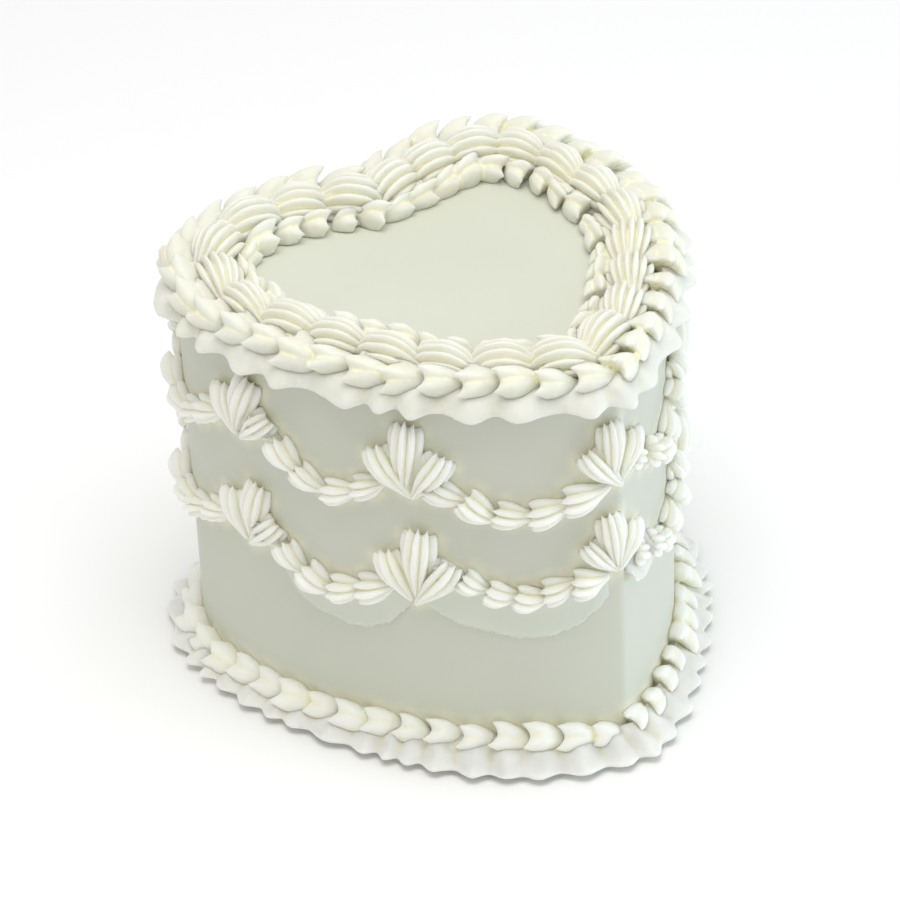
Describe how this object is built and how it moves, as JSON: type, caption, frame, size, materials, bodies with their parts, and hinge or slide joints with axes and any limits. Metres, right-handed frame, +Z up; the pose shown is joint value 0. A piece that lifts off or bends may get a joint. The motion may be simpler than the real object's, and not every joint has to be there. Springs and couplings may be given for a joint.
{
  "type": "layer cake",
  "caption": "Tall heart-shaped cake with smooth ivory icing, piped shell borders round the top and foot, and two rows of piped swags with fleurs on the wall.",
  "frame": {"origin": "centre of the cake's footprint, on the surface that it stands on", "axes": "+Z up; +Y from the heart's point to its notch; +X to the right, seen with the point nearest"},
  "size_m": [0.1806, 0.1876, 0.1581],
  "materials": {
    "smooth_icing": "satin",
    "piped_icing": "satin"
  },
  "bodies": {
    "root": {"cake_body": "smooth_icing", "top_inner_beads": "piped_icing", "top_shells": "piped_icing", "top_outer_shells": "piped_icing", "top_ruffle": "piped_icing", "upper_fleur_1": "piped_icing", "upper_fleur_2": "piped_icing", "upper_fleur_3": "piped_icing", "upper_fleur_4": "piped_icing", "upper_fleur_5": "piped_icing", "upper_fleur_6": "piped_icing", "upper_fleur_7": "piped_icing", "upper_fleur_8": "piped_icing", "upper_swag_1": "piped_icing", "upper_swag_2": "piped_icing", "upper_swag_3": "piped_icing", "upper_swag_4": "piped_icing", "upper_swag_5": "piped_icing", "upper_swag_6": "piped_icing", "upper_swag_7": "piped_icing", "upper_swag_8": "piped_icing", "lower_fleur_1": "piped_icing", "lower_fleur_2": "piped_icing", "lower_fleur_3": "piped_icing", "lower_fleur_4": "piped_icing", "lower_fleur_5": "piped_icing", "lower_fleur_6": "piped_icing", "lower_fleur_7": "piped_icing", "lower_fleur_8": "piped_icing", "lower_swag_1": "piped_icing", "lower_swag_2": "piped_icing", "lower_swag_3": "piped_icing", "lower_swag_4": "piped_icing", "lower_swag_5": "piped_icing", "lower_swag_6": "piped_icing", "lower_swag_7": "piped_icing", "lower_swag_8": "piped_icing", "base_shells": "piped_icing", "base_ruffle": "piped_icing"}
  },
  "joints": []
}
